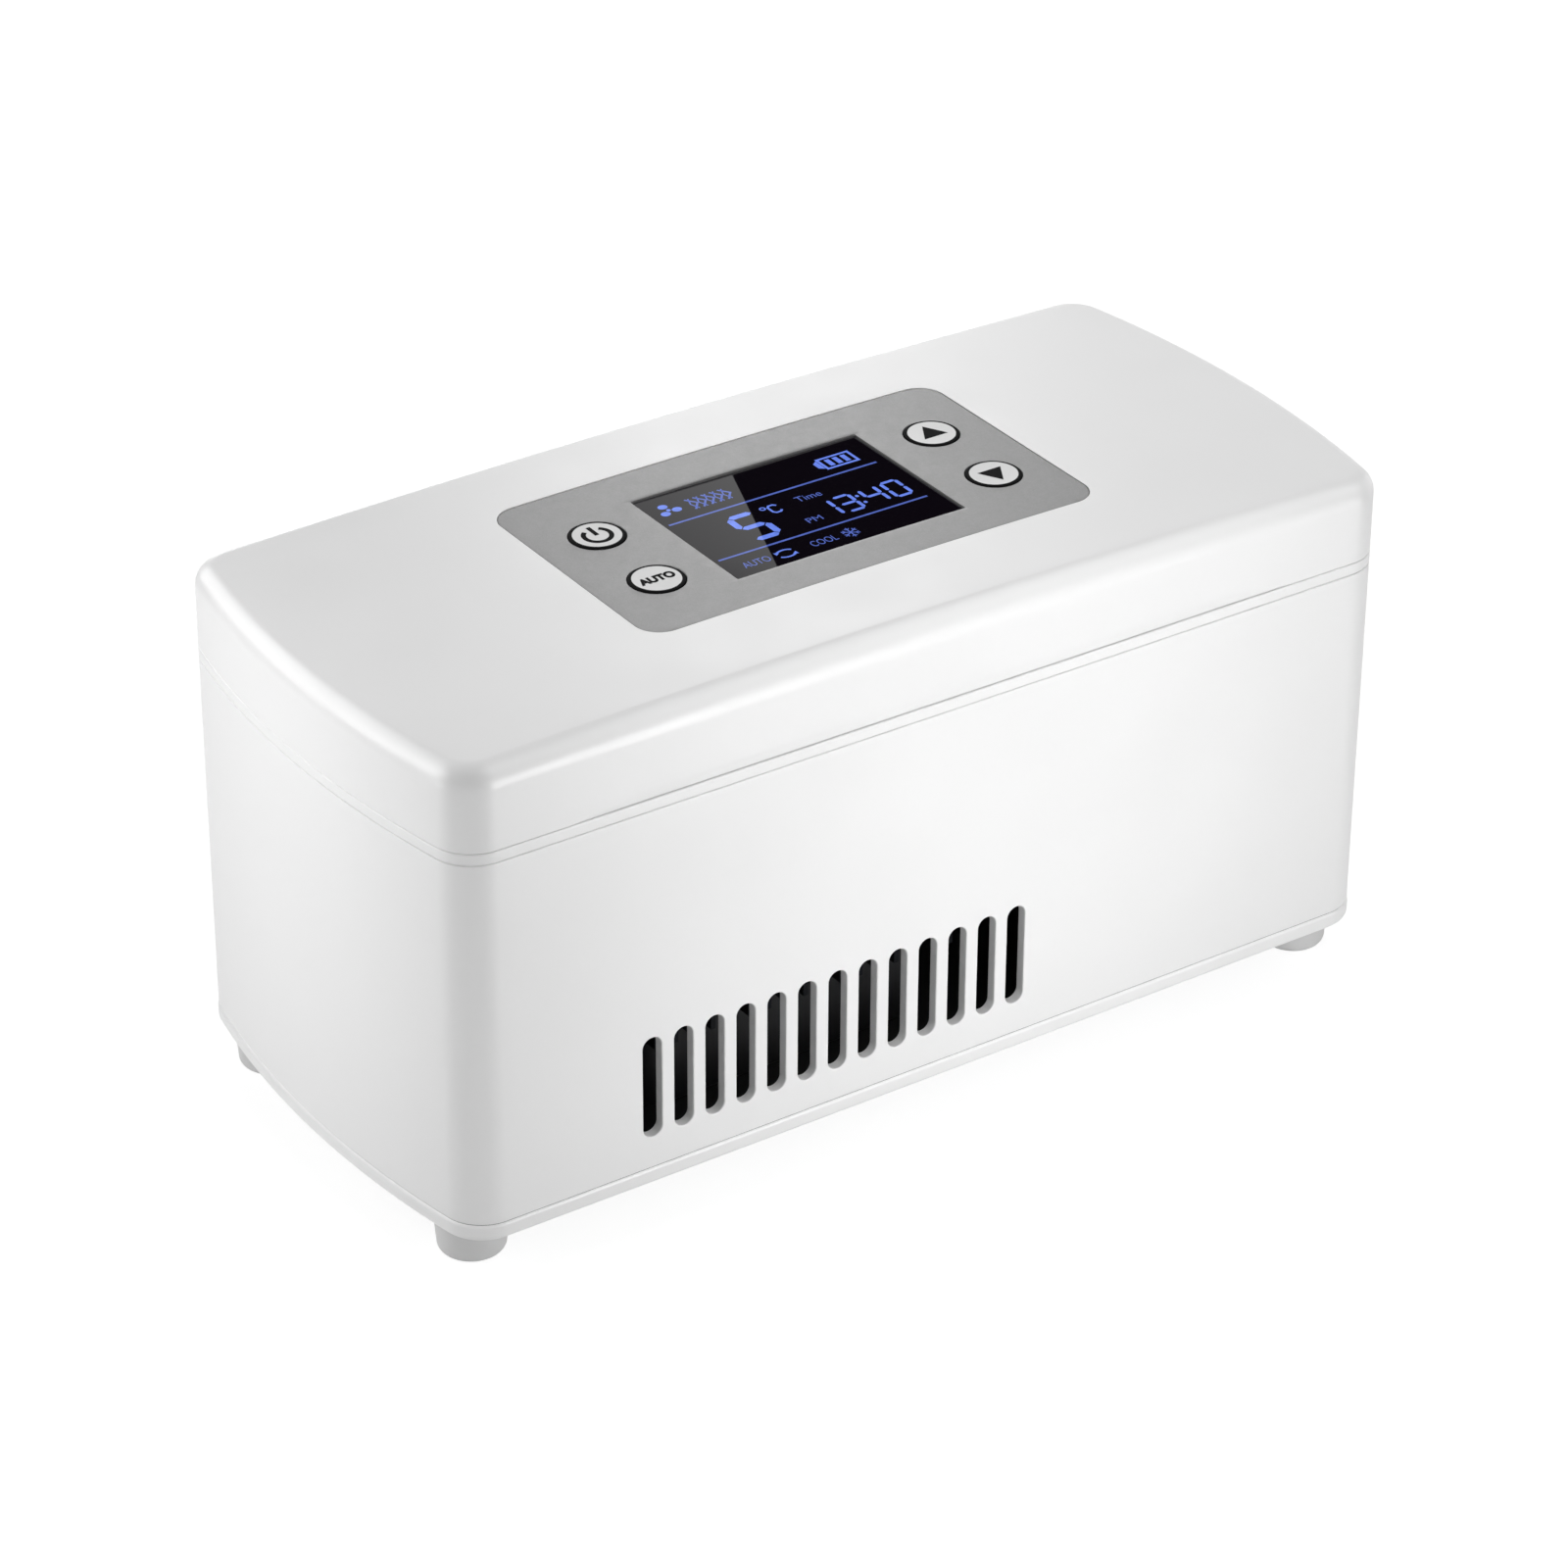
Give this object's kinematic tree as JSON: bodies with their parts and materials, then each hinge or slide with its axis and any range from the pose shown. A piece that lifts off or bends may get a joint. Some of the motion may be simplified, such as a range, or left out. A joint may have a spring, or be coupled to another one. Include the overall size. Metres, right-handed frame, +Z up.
{
  "type": "insulin cooling case",
  "caption": "Small white bench-top cooler for insulin pens, with a hinged lid, a display and press buttons, vent slots, a fan and a cold chamber.",
  "frame": {"origin": "on the surface the feet stand on, under the middle of the case", "axes": "+X along the case's long side to its right end, +Y to the hinged back, +Z up"},
  "size_m": [0.2054, 0.0959, 0.1031],
  "materials": {
    "white_plastic": "satin",
    "liner_plastic": "matte",
    "foot_rubber": "matte",
    "steel": "satin",
    "chamber_aluminium": "satin",
    "black_aluminium": "matte",
    "foam": "matte",
    "module_ceramic": "matte",
    "black_plastic": "satin",
    "battery_wrap": "gloss",
    "circuit_board": "satin",
    "copper": "satin",
    "seal_rubber": "matte",
    "panel_grey": "satin",
    "display_glass": "gloss",
    "button_plastic": "satin"
  },
  "bodies": {
    "case": {"base_cover": "white_plastic", "body_shell": "white_plastic", "rim_frame": "white_plastic", "foot_front_left": "foot_rubber", "case_screw_front_left": "steel", "foot_front_right": "foot_rubber", "case_screw_front_right": "steel", "foot_rear_left": "foot_rubber", "case_screw_rear_left": "steel", "foot_rear_right": "foot_rubber", "case_screw_rear_right": "steel", "cold_chamber": "chamber_aluminium", "insulation_foam": "foam", "cold_block": "chamber_aluminium", "thermoelectric_module": "module_ceramic", "heat_sink": "black_aluminium", "sink_screw_left": "steel", "sink_screw_right": "steel", "chamber_sensor": "black_plastic", "fan_frame": "black_plastic", "fan_screw_front_left": "steel", "fan_screw_front_right": "steel", "fan_screw_rear_left": "steel", "fan_screw_rear_right": "steel", "battery_holder": "black_plastic", "battery_cell_front": "battery_wrap", "battery_cell_rear": "battery_wrap", "main_board": "circuit_board", "dc_jack": "black_plastic", "capacitor": "black_plastic", "inductor": "copper", "control_chip": "black_plastic", "hinge_pin_left": "steel", "case_magnet_left": "steel", "hinge_pin_right": "steel", "case_magnet_right": "steel"},
    "lid": {"lid_shell": "white_plastic", "lid_liner": "liner_plastic", "lid_gasket": "seal_rubber", "lid_foam": "foam", "lid_magnet_left": "steel", "lid_magnet_right": "steel", "control_panel": "panel_grey", "display_window": "display_glass", "display_module": "black_plastic", "display_board": "circuit_board", "lid_screw_front_left": "steel", "lid_screw_front_right": "steel", "lid_screw_rear_left": "steel", "lid_screw_rear_right": "steel", "auto_switch": "black_plastic", "down_switch": "black_plastic", "power_switch": "black_plastic", "up_switch": "black_plastic"},
    "fan_rotor": {"fan_rotor": "black_plastic"},
    "auto_button": {"auto_button": "button_plastic"},
    "down_button": {"down_button": "button_plastic"},
    "power_button": {"power_button": "button_plastic"},
    "up_button": {"up_button": "button_plastic"}
  },
  "joints": [
    {"name": "lid_hinge", "type": "hinge", "parent": "case", "child": "lid", "pos_m": [0, 0.0469, 0.08635], "axis": [-1, 0, 0], "range_deg": [0, 100]},
    {"name": "fan_spin", "type": "hinge", "parent": "case", "child": "fan_rotor", "pos_m": [-0.0221, 0, 0.0171], "axis": [0, 0, 1], "continuous": true},
    {"name": "auto_press", "type": "slide", "parent": "lid", "child": "auto_button", "axis": [0, 0, -1], "range_m": [0, 0.0004], "stiffness_N_per_m": 1500, "springref_m": -0.0004},
    {"name": "down_press", "type": "slide", "parent": "lid", "child": "down_button", "axis": [0, 0, -1], "range_m": [0, 0.0004], "stiffness_N_per_m": 1500, "springref_m": -0.0004},
    {"name": "power_press", "type": "slide", "parent": "lid", "child": "power_button", "axis": [0, 0, -1], "range_m": [0, 0.0004], "stiffness_N_per_m": 1500, "springref_m": -0.0004},
    {"name": "up_press", "type": "slide", "parent": "lid", "child": "up_button", "axis": [0, 0, -1], "range_m": [0, 0.0004], "stiffness_N_per_m": 1500, "springref_m": -0.0004}
  ]
}
